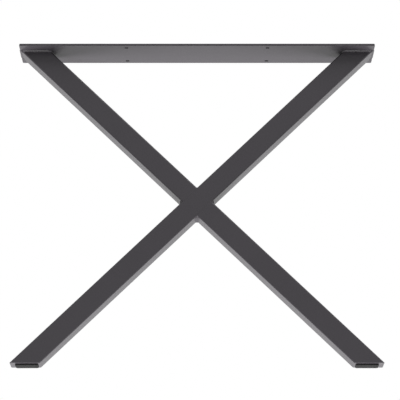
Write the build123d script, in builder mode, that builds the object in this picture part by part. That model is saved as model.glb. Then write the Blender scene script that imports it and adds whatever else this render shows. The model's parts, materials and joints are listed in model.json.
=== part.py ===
from build123d import *
from math import atan2, sin, tan
import os

# An X-shaped steel table leg: a flat mounting plate with four screw holes, and two square tubes
# that cross and stand on the floor. One tube runs through the crossing, the other is two halves
# welded to its sides. Millimetres. The origin is on the floor, midway between the feet.
# X runs along the plate, Y across it, and Z is up.

# Driving dimensions of the steel frame, from the foot caps' underside to the plate's top.
# Each foot's outer tip stands a little past the plate's end.
frame_height = 710.0
foot_overhang = 3.5

plate_length = 780.0
plate_width = 100.0
plate_thickness = 5.0
plate_corner_radius = 4.0
plate_edge_radius = 0.5

tube_size = 45.0
tube_wall = 2.0
tube_corner_radius = 3.0
tube_end_setback = 2.0

screw_hole_diameter = 8.0
screw_hole_spacing_x = 310.0
screw_hole_spacing_y = 75.0
screw_hole_edge_break = 0.4

foot_cap_thickness = 3.0
foot_cap_edge_radius = 0.6

# Glides under the feet
glide_length = 48.0
glide_width = 30.0
glide_thickness = 3.0
glide_corner_radius = 4.0
glide_edge_break = 0.6
glide_tip_margin = 12.0

# Welds: the fillet under the plate, and the fillet in each notch of the crossing, which runs out
# to a small leg towards the front and rear, over a longer stretch in the notch that opens upwards.
plate_weld_leg = 4.0
plate_weld_end_margin = 0.5
crossing_weld_leg = 6.0
crossing_weld_end_leg = 1.0
crossing_weld_runout = 4.0
top_notch_runout = 12.0

# Heights that follow from the stack of glide, foot cap, tube and plate
foot_underside = glide_thickness
tube_underside = foot_underside + foot_cap_thickness
plate_top = foot_underside + frame_height
plate_underside = plate_top - plate_thickness


def leg_angle_for(span_of_tips, rise):
    """Angle of a leg above the floor, in radians.

    A slanted tube that is cut level is wider than the tube, by the sine of its own angle,
    so the angle is refined until the cut and the slant agree.
    """
    angle = atan2(rise, span_of_tips)
    for _ in range(20):
        angle = atan2(rise, span_of_tips - tube_size / sin(angle))
    return angle


# Each leg runs from an outer tip under the plate to the outer tip of the opposite foot
top_tip_x = plate_length / 2 - tube_end_setback
foot_tip_x = plate_length / 2 + foot_overhang
leg_rise = plate_underside - foot_underside
leg_angle = leg_angle_for(top_tip_x + foot_tip_x, leg_rise)
level_cut = tube_size / sin(leg_angle)
top_centre_x = top_tip_x - level_cut / 2
foot_centre_x = foot_tip_x - level_cut / 2
leg_run = top_centre_x + foot_centre_x
crossing_height = foot_underside + leg_rise * foot_centre_x / leg_run

up_to_the_right = Vector(leg_run, 0, leg_rise).normalized()
up_to_the_left = Vector(-leg_run, 0, leg_rise).normalized()
leg_length = Vector(leg_run, 0, leg_rise).length

plate_plane = Plane.XY.offset(plate_underside)
foot_plane = Plane.XY.offset(foot_underside)
tube_foot_plane = Plane.XY.offset(tube_underside)


def across_leg(direction):
    """Work plane at the crossing, square to a leg that runs in this direction."""
    return Plane(origin=(0, 0, crossing_height), x_dir=(0, 1, 0), z_dir=direction)


through_plane = across_leg(up_to_the_right)
upper_half_plane = across_leg(up_to_the_left)
lower_half_plane = across_leg(-up_to_the_left)

# The through leg's two sides that carry the halves, facing away from the crossing
side_normal = Vector(-leg_rise, 0, leg_run).normalized()


def through_side(normal):
    """Plane of the through leg's side that faces in this direction."""
    origin = Vector(0, 0, crossing_height) + normal * (tube_size / 2)
    return Plane(origin=origin, x_dir=up_to_the_right, z_dir=normal)


upper_side = through_side(side_normal)
lower_side = through_side(-side_normal)


def tube_outline():
    """Outside of the square tube."""
    RectangleRounded(tube_size, tube_size, tube_corner_radius)


def tube_section():
    """The square tube's steel, with an even wall round the corners."""
    bore_size = tube_size - 2 * tube_wall
    tube_outline()
    RectangleRounded(bore_size, bore_size, tube_corner_radius - tube_wall, mode=Mode.SUBTRACT)


def finish(name, piece):
    """Name a finished piece and write it out."""
    piece.part.label = name
    export_step(piece.part, f"parts/{name}.step")


os.makedirs("parts", exist_ok=True)

# Mounting plate, with four screw holes for the table top
with BuildPart() as top_plate:
    with BuildSketch(plate_plane):
        RectangleRounded(plate_length, plate_width, plate_corner_radius)
    extrude(amount=plate_thickness)
    rims = top_plate.edges().group_by(Axis.Z)[0] + top_plate.edges().group_by(Axis.Z)[-1]
    fillet(rims, plate_edge_radius)
    with Locations(Location((0, 0, plate_top))):
        with GridLocations(screw_hole_spacing_x, screw_hole_spacing_y, 2, 2):
            Hole(screw_hole_diameter / 2)
    mouths = top_plate.edges().filter_by(GeomType.CIRCLE).filter_by(
        lambda edge: abs(edge.arc_center.X) < (screw_hole_spacing_x + screw_hole_diameter) / 2)
    chamfer(mouths, screw_hole_edge_break)
finish("top_plate", top_plate)

# The leg from the left foot to the right end of the plate, in one length
with BuildPart() as leg_through:
    with BuildSketch(through_plane):
        tube_section()
    extrude(amount=leg_length, both=True)
    split(bisect_by=plate_plane, keep=Keep.BOTTOM)
    split(bisect_by=tube_foot_plane, keep=Keep.TOP)
finish("leg_through", leg_through)

# The other leg's halves, each cut off at the side of the leg that runs through
with BuildPart() as leg_half_upper:
    with BuildSketch(upper_half_plane):
        tube_section()
    extrude(amount=leg_length)
    split(bisect_by=upper_side, keep=Keep.TOP)
    split(bisect_by=plate_plane, keep=Keep.BOTTOM)
finish("leg_half_upper", leg_half_upper)

with BuildPart() as leg_half_lower:
    with BuildSketch(lower_half_plane):
        tube_section()
    extrude(amount=leg_length)
    split(bisect_by=lower_side, keep=Keep.TOP)
    split(bisect_by=tube_foot_plane, keep=Keep.TOP)
finish("leg_half_lower", leg_half_lower)

# The legs' outer forms, filled, to cut the welds and the foot caps to
with BuildPart() as through_form:
    with BuildSketch(through_plane):
        tube_outline()
    extrude(amount=leg_length, both=True)

with BuildPart() as upper_half_form:
    with BuildSketch(upper_half_plane):
        tube_outline()
    extrude(amount=leg_length)
    split(bisect_by=upper_side, keep=Keep.TOP)

with BuildPart() as lower_half_form:
    with BuildSketch(lower_half_plane):
        tube_outline()
    extrude(amount=leg_length)
    split(bisect_by=lower_side, keep=Keep.TOP)

# Each foot is closed by a cap that continues the leg's outer form, ground flush
for name, leg_form in (("foot_cap_left", through_form), ("foot_cap_right", lower_half_form)):
    with BuildPart() as foot_cap:
        add(leg_form.part)
        split(bisect_by=foot_plane, keep=Keep.TOP)
        split(bisect_by=tube_foot_plane, keep=Keep.BOTTOM)
        fillet(foot_cap.faces().sort_by(Axis.Z)[0].edges(), foot_cap_edge_radius)
    finish(name, foot_cap)

# A glide is stuck under each foot cap, set back from the sharp outer tip
glide_centre_x = foot_tip_x - glide_tip_margin - glide_length / 2
for name, side in (("glide_left", -1), ("glide_right", 1)):
    with BuildPart() as glide:
        with BuildSketch():
            with Locations((side * glide_centre_x, 0)):
                RectangleRounded(glide_length, glide_width, glide_corner_radius)
        extrude(amount=glide_thickness)
        chamfer(glide.faces().sort_by(Axis.Z)[0].edges(), glide_edge_break)
    finish(name, glide)

# Fillet weld all round a leg's end, under the plate. It is as high as it is wide, and on the
# outer side it stays within the plate's end.
weld_outer_x = plate_length / 2 - plate_weld_end_margin
weld_inner_x = top_tip_x - level_cut - plate_weld_leg
weld_length = weld_outer_x - weld_inner_x
weld_centre_x = (weld_outer_x + weld_inner_x) / 2
weld_toe_centre_x = top_centre_x - plate_weld_leg / tan(leg_angle)
for name, side, leg_form in (("plate_weld_left", -1, upper_half_form),
                             ("plate_weld_right", 1, through_form)):
    with BuildPart() as plate_weld:
        with BuildSketch(plate_plane):
            with Locations((side * weld_centre_x, 0)):
                RectangleRounded(weld_length, tube_size + 2 * plate_weld_leg, tube_corner_radius)
        with BuildSketch(plate_plane.offset(-plate_weld_leg)):
            with Locations((side * weld_toe_centre_x, 0)):
                RectangleRounded(level_cut, tube_size, tube_corner_radius / sin(leg_angle))
        loft()
        add(leg_form.part, mode=Mode.SUBTRACT)
    finish(name, plate_weld)

# Weld round each half's end on the through leg. In the two notches it is a fillet that stops
# short of the front and rear, where it turns into a filling, ground flush, of the groove
# beside the through leg's rounded edges.
half_width = tube_size / 2
flat_width = tube_size - 2 * tube_corner_radius
notch_weld_end = (flat_width + tube_corner_radius) / 2


def notch_section(along, outward, leg):
    """Section of the fillet in one notch, reaching in behind the tubes' rounded edges."""
    Polygon((along * flat_width / 2, -outward * tube_corner_radius),
            (along * half_width, -outward * tube_corner_radius),
            (along * (half_width + leg), 0),
            (along * half_width, outward * leg),
            (along * flat_width / 2, outward * leg),
            align=None)


for name, side_plane, half_form, outward, runouts in (
        ("crossing_weld_upper", upper_side, upper_half_form, 1,
         (crossing_weld_runout, top_notch_runout)),
        ("crossing_weld_lower", lower_side, lower_half_form, -1,
         (crossing_weld_runout, crossing_weld_runout))):
    notch_plane = Plane(origin=side_plane.origin, x_dir=up_to_the_right, z_dir=(0, -1, 0))
    with BuildPart() as crossing_weld:
        for along, runout in zip((-1, 1), runouts):
            full_reach = notch_weld_end - runout
            for reach, leg in ((-notch_weld_end, crossing_weld_end_leg),
                               (-full_reach, crossing_weld_leg),
                               (full_reach, crossing_weld_leg),
                               (notch_weld_end, crossing_weld_end_leg)):
                with BuildSketch(notch_plane.offset(reach)):
                    notch_section(along, outward, leg)
            loft(ruled=True)
        add(through_form.part, mode=Mode.SUBTRACT)
        add(half_form.part, mode=Mode.SUBTRACT)
        with BuildSketch(through_plane):
            with Locations((0, outward * (half_width - tube_corner_radius / 2))):
                Rectangle(tube_size, tube_corner_radius)
            RectangleRounded(tube_size, tube_size, tube_corner_radius, mode=Mode.SUBTRACT)
        extrude(amount=notch_weld_end, both=True)
    finish(name, crossing_weld)
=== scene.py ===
import json
import math

import bmesh
import bpy
from mathutils import Matrix, Vector

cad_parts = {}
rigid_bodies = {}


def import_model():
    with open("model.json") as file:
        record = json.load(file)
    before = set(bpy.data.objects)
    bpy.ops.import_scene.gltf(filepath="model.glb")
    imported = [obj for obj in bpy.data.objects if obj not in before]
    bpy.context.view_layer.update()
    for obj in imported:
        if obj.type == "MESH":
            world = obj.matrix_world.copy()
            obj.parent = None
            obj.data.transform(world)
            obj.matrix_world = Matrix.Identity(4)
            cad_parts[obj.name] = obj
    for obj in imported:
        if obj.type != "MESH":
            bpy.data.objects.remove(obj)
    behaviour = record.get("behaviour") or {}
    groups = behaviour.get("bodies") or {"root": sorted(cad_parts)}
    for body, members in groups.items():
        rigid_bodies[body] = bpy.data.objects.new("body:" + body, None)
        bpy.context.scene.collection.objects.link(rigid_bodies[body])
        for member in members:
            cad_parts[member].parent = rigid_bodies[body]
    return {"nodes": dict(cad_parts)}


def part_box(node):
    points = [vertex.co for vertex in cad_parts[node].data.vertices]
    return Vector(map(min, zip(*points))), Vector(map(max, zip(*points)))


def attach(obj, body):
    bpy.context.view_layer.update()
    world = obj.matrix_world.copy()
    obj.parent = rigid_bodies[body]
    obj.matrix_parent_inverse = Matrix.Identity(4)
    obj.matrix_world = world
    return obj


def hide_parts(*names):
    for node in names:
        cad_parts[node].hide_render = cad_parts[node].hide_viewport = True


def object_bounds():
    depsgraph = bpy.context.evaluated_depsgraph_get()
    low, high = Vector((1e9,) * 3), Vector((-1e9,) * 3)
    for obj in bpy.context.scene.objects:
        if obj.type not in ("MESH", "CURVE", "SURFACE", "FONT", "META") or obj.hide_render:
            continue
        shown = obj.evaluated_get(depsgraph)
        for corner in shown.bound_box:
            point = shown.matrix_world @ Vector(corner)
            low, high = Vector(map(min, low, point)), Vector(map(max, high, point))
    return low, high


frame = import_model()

cad_low, cad_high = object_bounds()
MM = 0.001

# Sizes read from the frame: the plate, the legs' slant and the crossing

plate_low, plate_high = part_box("top_plate")
plate_underside = plate_low.z
through_low, through_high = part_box("leg_through")
tube_size = through_high.y - through_low.y
tube_corner_radius = 3 * MM
half_tube = tube_size / 2


def leg_slant():
    """Angle of a leg above the floor, in radians. A slanted tube that is cut level is wider than
    the tube, by the sine of its own angle, so the angle is refined until the two agree."""
    rise = through_high.z - through_low.z
    span = through_high.x - through_low.x
    angle = math.atan2(rise, span)
    for _ in range(20):
        angle = math.atan2(rise, span - tube_size / math.sin(angle))
    return angle


slant = leg_slant()
level_cut = tube_size / math.sin(slant)
leg_top_tip = through_high.x
upper_weld_low, upper_weld_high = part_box("crossing_weld_upper")
lower_weld_low, lower_weld_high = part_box("crossing_weld_lower")
crossing = (upper_weld_low + upper_weld_high + lower_weld_low + lower_weld_high) / 4


# Modelling helpers

def deselect_all():
    """Leave nothing selected or active, so that an operator acts only on what is picked next."""
    for thing in bpy.context.view_layer.objects:
        thing.select_set(False)
    bpy.context.view_layer.objects.active = None


def pick(*pieces):
    """Select these pieces alone, with the first one active."""
    deselect_all()
    for piece in pieces:
        piece.select_set(True)
    bpy.context.view_layer.objects.active = pieces[0]


def settle(*pieces):
    """Move each piece's place, turn and scale into its mesh, so its object sits at the origin."""
    pick(*pieces)
    bpy.ops.object.transform_apply(location=True, rotation=True, scale=True)


def shape(piece, step):
    """Run one modelling step in edit mode. The step gets the piece's editable mesh, where nothing
    is selected yet."""
    pick(piece)
    bpy.ops.object.mode_set(mode="EDIT")
    bpy.ops.mesh.select_all(action="DESELECT")
    step(bmesh.from_edit_mesh(piece.data))
    bpy.ops.object.mode_set(mode="OBJECT")


def select_edges(mesh, wanted):
    """Select the edges whose two ends answer the test."""
    bpy.ops.mesh.select_mode(type="EDGE")
    for edge in mesh.edges:
        edge.select_set(wanted(edge.verts[0].co, edge.verts[1].co))
    mesh.select_flush_mode()


def select_faces(mesh, wanted):
    """Select the faces whose middle and normal answer the test."""
    bpy.ops.mesh.select_mode(type="FACE")
    for face in mesh.faces:
        face.select_set(wanted(face.calc_center_median(), face.normal))
    mesh.select_flush_mode()


def apply_modifier(piece, kind, **settings):
    """Add a modifier, set it and apply it."""
    pick(piece)
    modifier = piece.modifiers.new(kind.lower(), kind)
    for setting, value in settings.items():
        setattr(modifier, setting, value)
    bpy.ops.object.modifier_apply(modifier=modifier.name)


def join(name, pieces):
    """Join the pieces into one of this name."""
    pick(*pieces)
    bpy.ops.object.join()
    joined = bpy.context.active_object
    joined.name = name
    joined.data.name = name
    return joined


crease_angle = 40


def shade_smooth(piece, angle):
    """Smooth shading across edges that turn less than this angle, in degrees."""
    pick(piece)
    bpy.ops.object.shade_smooth_by_angle(angle=math.radians(angle))


# Shader groups

def new_group(name, inputs, outputs):
    """A node group with these sockets, and its input and output nodes."""
    group = bpy.data.node_groups.new(name, "ShaderNodeTree")
    for label, kind, value in inputs:
        socket = group.interface.new_socket(label, in_out="INPUT", socket_type=kind)
        socket.default_value = value
    for label, kind in outputs:
        group.interface.new_socket(label, in_out="OUTPUT", socket_type=kind)
    return group, group.nodes.new("NodeGroupInput"), group.nodes.new("NodeGroupOutput")


def powder_grain_group():
    """Fine grain of a powder coat: its tone, its roughness and its height."""
    group, given, result = new_group(
        "powder_grain",
        [("Tone", "NodeSocketColor", (0.05, 0.05, 0.05, 1)),
         ("Grain Size", "NodeSocketFloat", 1.0),
         ("Speckle", "NodeSocketFloat", 0.12),
         ("Drift", "NodeSocketFloat", 0.08),
         ("Roughness", "NodeSocketFloat", 0.3)],
        [("Color", "NodeSocketColor"),
         ("Roughness", "NodeSocketFloat"),
         ("Height", "NodeSocketFloat")])
    nodes, links = group.nodes, group.links
    place = nodes.new("ShaderNodeTexCoord")

    pebbles = nodes.new("ShaderNodeTexNoise")
    pebbles.inputs["Detail"].default_value = 3.0
    pebbles.inputs["Roughness"].default_value = 0.55
    links.new(place.outputs["Object"], pebbles.inputs["Vector"])
    per_metre = nodes.new("ShaderNodeMath")
    per_metre.operation = "DIVIDE"
    per_metre.inputs[0].default_value = 1.0 / MM
    links.new(given.outputs["Grain Size"], per_metre.inputs[1])
    links.new(per_metre.outputs[0], pebbles.inputs["Scale"])

    drift = nodes.new("ShaderNodeTexNoise")
    drift.inputs["Scale"].default_value = 9.0
    drift.inputs["Detail"].default_value = 2.0
    links.new(place.outputs["Object"], drift.inputs["Vector"])

    def around_one(source, amount_socket):
        """1 plus or minus a share of the amount, from a value about 0.5."""
        centred = nodes.new("ShaderNodeMath")
        centred.operation = "SUBTRACT"
        links.new(source, centred.inputs[0])
        centred.inputs[1].default_value = 0.5
        scaled = nodes.new("ShaderNodeMath")
        scaled.operation = "MULTIPLY_ADD"
        links.new(centred.outputs[0], scaled.inputs[0])
        links.new(amount_socket, scaled.inputs[1])
        scaled.inputs[2].default_value = 1.0
        return scaled.outputs[0]

    speckle = around_one(pebbles.outputs["Fac"], given.outputs["Speckle"])
    slow = around_one(drift.outputs["Fac"], given.outputs["Drift"])
    both = nodes.new("ShaderNodeMath")
    both.operation = "MULTIPLY"
    links.new(speckle, both.inputs[0])
    links.new(slow, both.inputs[1])
    shade = nodes.new("ShaderNodeVectorMath")
    shade.operation = "SCALE"
    links.new(given.outputs["Tone"], shade.inputs[0])
    links.new(both.outputs[0], shade.inputs["Scale"])
    links.new(shade.outputs[0], result.inputs["Color"])

    rough = nodes.new("ShaderNodeMath")
    rough.operation = "MULTIPLY"
    links.new(given.outputs["Roughness"], rough.inputs[0])
    links.new(slow, rough.inputs[1])
    links.new(rough.outputs[0], result.inputs["Roughness"])
    links.new(pebbles.outputs["Fac"], result.inputs["Height"])
    return group


powder_grain = powder_grain_group()


def coat_material(name, tone, grain_size, speckle, drift, roughness, bump_depth, specular):
    """Powder coat or moulded rubber, from the shared grain and a plain glossy surface. The grain
    size is in millimetres."""
    material = bpy.data.materials.new(name)
    material.use_nodes = True
    nodes, links = material.node_tree.nodes, material.node_tree.links
    surface = nodes["Principled BSDF"]
    surface.inputs["Specular IOR Level"].default_value = specular
    grain = nodes.new("ShaderNodeGroup")
    grain.node_tree = powder_grain
    grain.inputs["Tone"].default_value = (*tone, 1)
    grain.inputs["Grain Size"].default_value = grain_size
    grain.inputs["Speckle"].default_value = speckle
    grain.inputs["Drift"].default_value = drift
    grain.inputs["Roughness"].default_value = roughness
    links.new(grain.outputs["Color"], surface.inputs["Base Color"])
    links.new(grain.outputs["Roughness"], surface.inputs["Roughness"])
    bump = nodes.new("ShaderNodeBump")
    bump.inputs["Strength"].default_value = 1.0
    bump.inputs["Distance"].default_value = bump_depth
    links.new(grain.outputs["Height"], bump.inputs["Height"])
    links.new(bump.outputs["Normal"], surface.inputs["Normal"])
    return material


anthracite = (0.046, 0.042, 0.048)
near_black = (0.010, 0.010, 0.010)
anthracite_coat = coat_material(
    "anthracite_coat", anthracite, grain_size=1.0, speckle=0.40, drift=0.12, roughness=0.30,
    bump_depth=0.10 * MM, specular=0.27)
weld_coat = coat_material(
    "weld_coat", anthracite, grain_size=0.8, speckle=0.40, drift=0.12, roughness=0.27,
    bump_depth=0.05 * MM, specular=0.26)
black_rubber = coat_material(
    "black_rubber", near_black, grain_size=0.6, speckle=0.30, drift=0.10, roughness=0.60,
    bump_depth=0.04 * MM, specular=0.12)

for name, node in frame["nodes"].items():
    node.data.materials.clear()
    node.data.materials.append(black_rubber if name.startswith("glide") else anthracite_coat)


# Weld beads

# Half a ripple's length is ripple_reach times the pitch, so ripples overlap. A ripple's tail is
# shaped on a ball of radius 1, before the ripple gets its size. A bead is crowned over the flat
# between its toes and seated a little way into the steel. Points within a sliver are merged.
ripple_pitch = 1.7 * MM
ripple_reach = 1.25
ripple_lean = math.radians(16)
tail_start = -0.35
tail_pull = (-0.2, 0, -0.08)
bead_crown = 1.14
bead_voxel = 0.35 * MM
seat_depth = 1.0 * MM
sliver = 0.01 * MM


def bead_section(leg, wedge):
    """Half-width and throat of a slightly crowned bead whose toes lie a leg's length up both
    faces of a wedge."""
    throat = bead_crown * leg * math.cos(wedge / 2)
    half_width = leg * math.sin(wedge / 2) / math.sqrt(1 - 1 / bead_crown ** 2)
    return half_width, throat


def one_ripple():
    """One ripple of a bead: a round drop whose rear end is drawn out, as the pool leaves it."""
    bpy.ops.mesh.primitive_uv_sphere_add(segments=20, ring_count=12, radius=1)
    ripple = bpy.context.active_object

    def draw_out(mesh):
        select_faces(mesh, lambda middle, normal: middle.x < tail_start)
        bpy.ops.transform.translate(value=tail_pull)

    shape(ripple, draw_out)
    return ripple


def lay_bead(name, stations):
    """A weld bead. A station is a place on the seam, the way along it, the way out of the wedge,
    the half-width and the throat. The ripples lean back and melt into one skin."""
    ripple = one_ripple()
    copies = []
    for place, along, outward, half_width, throat in stations:
        across = outward.cross(along).normalized()
        frame_of_seam = Matrix((along, across, outward)).transposed().to_4x4()
        lean = Matrix.Rotation(-ripple_lean, 4, "Y")
        size = Matrix.Diagonal((ripple_reach * ripple_pitch, half_width, throat, 1))
        copy = ripple.copy()
        copy.data = ripple.data.copy()
        bpy.context.scene.collection.objects.link(copy)
        copy.matrix_world = Matrix.Translation(place) @ frame_of_seam @ lean @ size
        copies.append(copy)
    bpy.data.objects.remove(ripple)
    settle(*copies)
    bead = join(name, copies)
    apply_modifier(bead, "REMESH", mode="VOXEL", voxel_size=bead_voxel)
    apply_modifier(bead, "SMOOTH", factor=0.5, iterations=2)
    return bead


def hollow(bead, cores):
    """Cut the cores out of a bead. Slivers along the cuts are merged, which can leave faces back
    to back on the same corners, or a flap that hangs by one edge. These are deleted, and of an
    odd number of faces on the same corners one stays, as part of the skin."""
    for core in cores:
        apply_modifier(bead, "BOOLEAN", operation="DIFFERENCE", object=core, solver="EXACT")
        bpy.data.objects.remove(core)

    def merge_slivers(mesh):
        bpy.ops.mesh.select_all(action="SELECT")
        bpy.ops.mesh.remove_doubles(threshold=sliver)
        bpy.ops.mesh.dissolve_degenerate(threshold=sliver)
        bpy.ops.mesh.quads_convert_to_tris()

    def delete_back_to_back(mesh):
        on_corners = {}
        for face in mesh.faces:
            corners = frozenset(corner.index for corner in face.verts)
            on_corners.setdefault(corners, []).append(face)
        bpy.ops.mesh.select_mode(type="FACE")
        for faces in on_corners.values():
            for face in faces[len(faces) % 2:]:
                face.select_set(True)
        bpy.ops.mesh.delete(type="FACE")

    def delete_flaps(mesh):
        bpy.ops.mesh.select_mode(type="FACE")
        for face in mesh.faces:
            face.select_set(sum(edge.is_boundary for edge in face.edges) > 1)
        bpy.ops.mesh.delete(type="FACE")

    def face_outwards(mesh):
        bpy.ops.mesh.select_all(action="SELECT")
        bpy.ops.mesh.normals_make_consistent(inside=False)

    for step in (merge_slivers, delete_back_to_back, delete_flaps, face_outwards):
        shape(bead, step)


# The bead under the plate has its own leg length towards the crossing, at the front and rear,
# and towards the plate's end
plate_seam_inner_leg = 4.8 * MM
plate_seam_leg = 4.0 * MM
plate_seam_outer_leg = 1.8 * MM


def plate_seam(side):
    """Stations round a leg's end under the plate. On the side where the leg leans away the wedge
    is wide and the bead small, because the plate ends there."""
    centre = Vector((side * (leg_top_tip - level_cut / 2), 0, plate_underside))
    down_leg = Vector((-side * math.cos(slant), 0, -math.sin(slant)))
    radius_x = tube_corner_radius / math.sin(slant)
    radius_y = tube_corner_radius
    flat_x = level_cut / 2 - radius_x
    flat_y = half_tube - radius_y
    corner_steps = 4
    spots = []
    for turn in range(4):
        angle = turn * math.pi / 2
        out = Vector((math.cos(angle), math.sin(angle)))
        along = Vector((-out.y, out.x))
        flat_length = 2 * (flat_y if turn % 2 == 0 else flat_x)
        middle = Vector((out.x * level_cut / 2, out.y * half_tube))
        steps = round(flat_length / ripple_pitch)
        for step in range(steps):
            spots.append((middle + along * flat_length * (step / steps - 0.5), out))
        corner = Vector(((out.x + along.x) * flat_x, (out.y + along.y) * flat_y))
        for step in range(corner_steps):
            bend = angle + math.pi / 2 * step / corner_steps
            spot = corner + Vector((radius_x * math.cos(bend), radius_y * math.sin(bend)))
            spots.append((spot, Vector((radius_y * math.cos(bend), radius_x * math.sin(bend)))))
    stations = []
    for spot, out in spots:
        outward = out.to_3d().normalized()
        along = Vector((0, 0, 1)).cross(outward)
        down_face = (down_leg - along * down_leg.dot(along)).normalized()
        wedge = outward.angle(down_face)
        openness = (wedge - math.pi / 2) / (math.pi / 2 - slant)
        other_leg = plate_seam_outer_leg if openness > 0 else plate_seam_inner_leg
        leg = plate_seam_leg + abs(openness) * (other_leg - plate_seam_leg)
        stations.append((centre + spot.to_3d(), along, (outward + down_face).normalized(),
                         *bead_section(leg, wedge)))
    return stations


def leg_core(side):
    """Slanted block inside a leg's end, a seat's depth under its surface, to hollow a bead with."""
    height = 30 * MM
    middle = Vector((side * (leg_top_tip - level_cut / 2), 0, plate_underside))
    bpy.ops.mesh.primitive_cube_add(size=1, location=middle)
    core = bpy.context.active_object
    core.scale = (level_cut - 2 * seat_depth / math.sin(slant), tube_size - 2 * seat_depth, height)
    settle(core)

    def lean(mesh):
        select_faces(mesh, lambda place, normal: normal.z < -0.5)
        bpy.ops.transform.translate(value=(-side * height / 2 / math.tan(slant), 0, 0))
        bpy.ops.mesh.select_all(action="DESELECT")
        select_faces(mesh, lambda place, normal: normal.z > 0.5)
        bpy.ops.transform.translate(value=(side * height / 2 / math.tan(slant), 0, 0))

    shape(core, lean)

    def round_long_edges(mesh):
        select_edges(mesh, lambda a, b: abs(a.z - b.z) > height / 2)
        bpy.ops.mesh.bevel(offset=tube_corner_radius - seat_depth, segments=4, affect="EDGES")

    shape(core, round_long_edges)
    return core


def plate_core():
    """Block inside the plate, a seat's depth above its underside, to level a bead with."""
    size = plate_high - plate_low
    middle = (0, 0, plate_underside + seat_depth + size.z / 2)
    bpy.ops.mesh.primitive_cube_add(size=1, location=middle)
    core = bpy.context.active_object
    core.scale = size
    settle(core)
    return core


def plate_bead(name, node, side):
    """The bead round a leg's end, seated a little way into the plate and the leg's wall."""
    bead = lay_bead(name, plate_seam(side))
    hollow(bead, [leg_core(side), plate_core()])
    bead.data.materials.append(weld_coat)
    shade_smooth(bead, crease_angle)
    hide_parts(node)
    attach(bead, "root")


plate_bead("plate_bead_left", "plate_weld_left", -1)
plate_bead("plate_bead_right", "plate_weld_right", 1)

# The crossing's beads run out to a small leg towards the front and rear, over a longer stretch
# in the notch that opens upwards. The joints are the notches' corners, from the crossing.
notch_leg = 6.0 * MM
notch_end_leg = 1.0 * MM
notch_runout = 4.0 * MM
top_notch_runout = 12.0 * MM
side_joint = Vector((half_tube / math.sin(slant), 0, 0))
top_joint = Vector((0, 0, half_tube / math.cos(slant)))
up_right = Vector((math.cos(slant), 0, math.sin(slant)))


def crossing_core(angle):
    """Block along a leg at this angle above the floor, a seat's depth under its sides where they
    meet the notches, to hollow a bead with."""
    bpy.ops.mesh.primitive_cube_add(size=1, location=crossing)
    core = bpy.context.active_object
    core.scale = (4 * tube_size, 2 * tube_size, tube_size - 2 * seat_depth)
    core.rotation_euler = (0, -angle, 0)
    settle(core)
    return core


def notch_bead(joint, runout):
    """The bead in one notch of the crossing, small at its ends towards the front and rear."""
    outward = joint.normalized()
    wedge = 2 * slant if outward.z == 0 else math.pi - 2 * slant
    reach = half_tube - ripple_reach * ripple_pitch
    steps = round(2 * reach / ripple_pitch)
    stations = []
    for step in range(steps + 1):
        y = reach * (2 * step / steps - 1)
        share = min(1, (reach - abs(y)) / runout)
        leg = notch_end_leg + share * (notch_leg - notch_end_leg)
        stations.append((crossing + joint + Vector((0, y, 0)), Vector((0, 1, 0)), outward,
                         *bead_section(leg, wedge)))
    bead = lay_bead("notch_bead", stations)
    hollow(bead, [crossing_core(slant), crossing_core(math.pi - slant)])
    return bead


def groove_fill(outward, face):
    """Ground filling of the groove between the end of a half leg and the rounded edge of the leg
    that runs through. It is flush with the front or rear, and its ends carry on the half leg's
    rounded edges."""
    depth = tube_corner_radius + seat_depth
    bpy.ops.mesh.primitive_cube_add(size=1)
    fill = bpy.context.active_object
    fill.scale = (tube_size, depth, tube_corner_radius)
    settle(fill)

    def round_ends(mesh):
        select_edges(mesh, lambda a, b: a.x * b.x > 0 and min(face * a.y, face * b.y) > 0)
        bpy.ops.mesh.bevel(offset=tube_corner_radius, segments=6, affect="EDGES")

    shape(fill, round_ends)
    across_leg = Vector((-up_right.z, 0, up_right.x)) * outward
    fill.location = crossing + across_leg * (half_tube - tube_corner_radius / 2)
    fill.location.y = face * (half_tube - depth / 2)
    fill.rotation_euler = (0, -slant, 0)
    settle(fill)
    return fill


def crossing_beads(name, node, outward):
    """Both notch beads and both ground fillings at the end of one half leg."""
    top_runout = top_notch_runout if outward > 0 else notch_runout
    pieces = [notch_bead(outward * top_joint, top_runout),
              notch_bead(-outward * side_joint, notch_runout)]
    pieces += [groove_fill(outward, face) for face in (-1, 1)]
    bead = join(name, pieces)
    bead.data.materials.append(weld_coat)
    shade_smooth(bead, crease_angle)
    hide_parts(node)
    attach(bead, "root")


crossing_beads("crossing_bead_upper", "crossing_weld_upper", 1)
crossing_beads("crossing_bead_lower", "crossing_weld_lower", -1)


# Rubber pads under the feet

pad_corner_radius = 4.0 * MM
pad_rim_radius = 0.6 * MM
pad_edge_radius = 0.2 * MM


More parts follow.
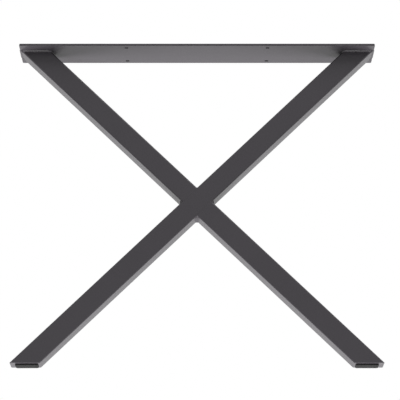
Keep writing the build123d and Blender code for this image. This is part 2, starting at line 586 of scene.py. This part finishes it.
def rubber_pad(name, node, askew):
    """Stick-on rubber pad with rounded corners and a soft lower rim, pressed on by hand and so a
    little askew, in degrees."""
    low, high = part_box(node)
    bpy.ops.mesh.primitive_cube_add(size=1, location=(low + high) / 2)
    pad = bpy.context.active_object
    pad.name = name
    pad.data.name = name
    pad.scale = high - low
    settle(pad)

    def round_corners(mesh):
        select_edges(mesh, lambda a, b: abs(a.z - b.z) > MM)
        bpy.ops.mesh.bevel(offset=pad_corner_radius, segments=8, affect="EDGES")

    def round_lower_rim(mesh):
        select_edges(mesh, lambda a, b: max(a.z, b.z) < low.z + MM)
        bpy.ops.mesh.bevel(offset=pad_rim_radius, segments=4, affect="EDGES")

    def break_upper_rim(mesh):
        select_edges(mesh, lambda a, b: min(a.z, b.z) > high.z - MM / 2)
        bpy.ops.mesh.bevel(offset=pad_edge_radius, segments=2, affect="EDGES")

    def turn_askew(mesh):
        bpy.ops.mesh.select_all(action="SELECT")
        bpy.ops.transform.rotate(value=math.radians(askew), orient_axis="Z",
                                 center_override=(low + high) / 2)

    for step in (round_corners, round_lower_rim, break_upper_rim, turn_askew):
        shape(pad, step)
    pad.data.materials.append(black_rubber)
    shade_smooth(pad, crease_angle)
    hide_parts(node)
    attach(pad, "root")


rubber_pad("rubber_pad_left", "glide_left", askew=1.2)
rubber_pad("rubber_pad_right", "glide_right", askew=-0.4)


# Floor, light and camera

floor_size = 12.0
floor_tone = (0.9, 0.9, 0.9, 1)
floor_fade_start = 1.0
floor_fade_end = 2.4
deselect_all()
bpy.ops.mesh.primitive_plane_add(size=floor_size, location=(0, 0, 0))
floor = bpy.context.active_object
floor.name = "floor"


def floor_material():
    """Pale floor that only the camera sees, and only from above, so that light reaches the
    frame from below as well. Far from the frame it fades into the white surround."""
    material = bpy.data.materials.new("pale_floor")
    material.use_nodes = True
    nodes, links = material.node_tree.nodes, material.node_tree.links
    nodes.remove(nodes["Principled BSDF"])
    output = nodes["Material Output"]
    matt = nodes.new("ShaderNodeBsdfDiffuse")
    matt.inputs["Color"].default_value = floor_tone
    clear = nodes.new("ShaderNodeBsdfTransparent")
    path = nodes.new("ShaderNodeLightPath")
    side = nodes.new("ShaderNodeNewGeometry")
    front = nodes.new("ShaderNodeMath")
    front.operation = "SUBTRACT"
    front.use_clamp = True
    links.new(path.outputs["Is Camera Ray"], front.inputs[0])
    links.new(side.outputs["Backfacing"], front.inputs[1])
    place = nodes.new("ShaderNodeTexCoord")
    distance = nodes.new("ShaderNodeVectorMath")
    distance.operation = "LENGTH"
    links.new(place.outputs["Object"], distance.inputs[0])
    nearness = nodes.new("ShaderNodeMapRange")
    nearness.interpolation_type = "SMOOTHSTEP"
    nearness.inputs["From Min"].default_value = floor_fade_start
    nearness.inputs["From Max"].default_value = floor_fade_end
    nearness.inputs["To Min"].default_value = 1.0
    nearness.inputs["To Max"].default_value = 0.0
    links.new(distance.outputs["Value"], nearness.inputs["Value"])
    shown = nodes.new("ShaderNodeMath")
    shown.operation = "MULTIPLY"
    links.new(front.outputs[0], shown.inputs[0])
    links.new(nearness.outputs[0], shown.inputs[1])
    mix = nodes.new("ShaderNodeMixShader")
    links.new(shown.outputs[0], mix.inputs["Fac"])
    links.new(clear.outputs[0], mix.inputs[1])
    links.new(matt.outputs[0], mix.inputs[2])
    links.new(mix.outputs[0], output.inputs["Surface"])
    return material


floor.data.materials.append(floor_material())

# The surround is white to the camera and in reflections, and dimmer as light on matt surfaces
surround_on_matt = 0.3
world = bpy.data.worlds.new("studio")
bpy.context.scene.world = world
world.use_nodes = True
world_nodes, world_links = world.node_tree.nodes, world.node_tree.links
background = world_nodes["Background"]
background.inputs["Color"].default_value = (1, 1, 1, 1)
sight = world_nodes.new("ShaderNodeLightPath")
seen = world_nodes.new("ShaderNodeMath")
seen.operation = "MAXIMUM"
world_links.new(sight.outputs["Is Camera Ray"], seen.inputs[0])
world_links.new(sight.outputs["Is Glossy Ray"], seen.inputs[1])
seen_too = world_nodes.new("ShaderNodeMath")
seen_too.operation = "MAXIMUM"
world_links.new(seen.outputs[0], seen_too.inputs[0])
world_links.new(sight.outputs["Is Transmission Ray"], seen_too.inputs[1])
strength = world_nodes.new("ShaderNodeMapRange")
strength.inputs["To Min"].default_value = surround_on_matt
strength.inputs["To Max"].default_value = 1.0
world_links.new(seen_too.outputs[0], strength.inputs["Value"])
world_links.new(strength.outputs[0], background.inputs["Strength"])


def soft_lamp(name, place, aim, size, watts, mirrored):
    """Square area lamp that points at a place. It may be kept out of reflections."""
    data = bpy.data.lights.new(name, "AREA")
    data.shape = "SQUARE"
    data.size = size
    data.energy = watts
    lamp = bpy.data.objects.new(name, data)
    bpy.context.scene.collection.objects.link(lamp)
    lamp.location = place
    lamp.rotation_euler = (Vector(aim) - Vector(place)).to_track_quat("-Z", "Y").to_euler()
    lamp.visible_camera = False
    lamp.visible_glossy = mirrored


frame_middle = (cad_low + cad_high) / 2
soft_lamp("key", (1.2, -2.8, 6.2), frame_middle, size=4.8, watts=400, mirrored=True)
soft_lamp("low_rear", (-0.3, 1.2, -3.9), frame_middle, size=2.6, watts=390, mirrored=False)
soft_lamp("low_front", (0, -1.7, -2.1), frame_middle, size=1.2, watts=40, mirrored=True)

# The camera stands in front of the frame and below it, and looks up at its middle. Its focal
# length and the place of the frame's middle are in pixels of a picture of frame_px across.
camera_distance = 4.2
camera_below = math.radians(18.0)
focal_px = 1945.0
frame_px = 400
middle_px = (197.0, 205.4)
sensor_mm = 36.0

camera_data = bpy.data.cameras.new("camera")
camera_data.sensor_width = sensor_mm
camera_data.lens = focal_px * sensor_mm / frame_px
camera_data.shift_x = 0.5 - middle_px[0] / frame_px
camera_data.shift_y = middle_px[1] / frame_px - 0.5
camera = bpy.data.objects.new("camera", camera_data)
bpy.context.scene.collection.objects.link(camera)
camera_side = Vector((0, -math.cos(camera_below), -math.sin(camera_below)))
camera.location = frame_middle + camera_distance * camera_side
view_line = (frame_middle - camera.location).normalized()
camera.rotation_euler = view_line.to_track_quat("-Z", "Y").to_euler()
bpy.context.scene.camera = camera

bpy.context.scene.view_settings.view_transform = "Standard"
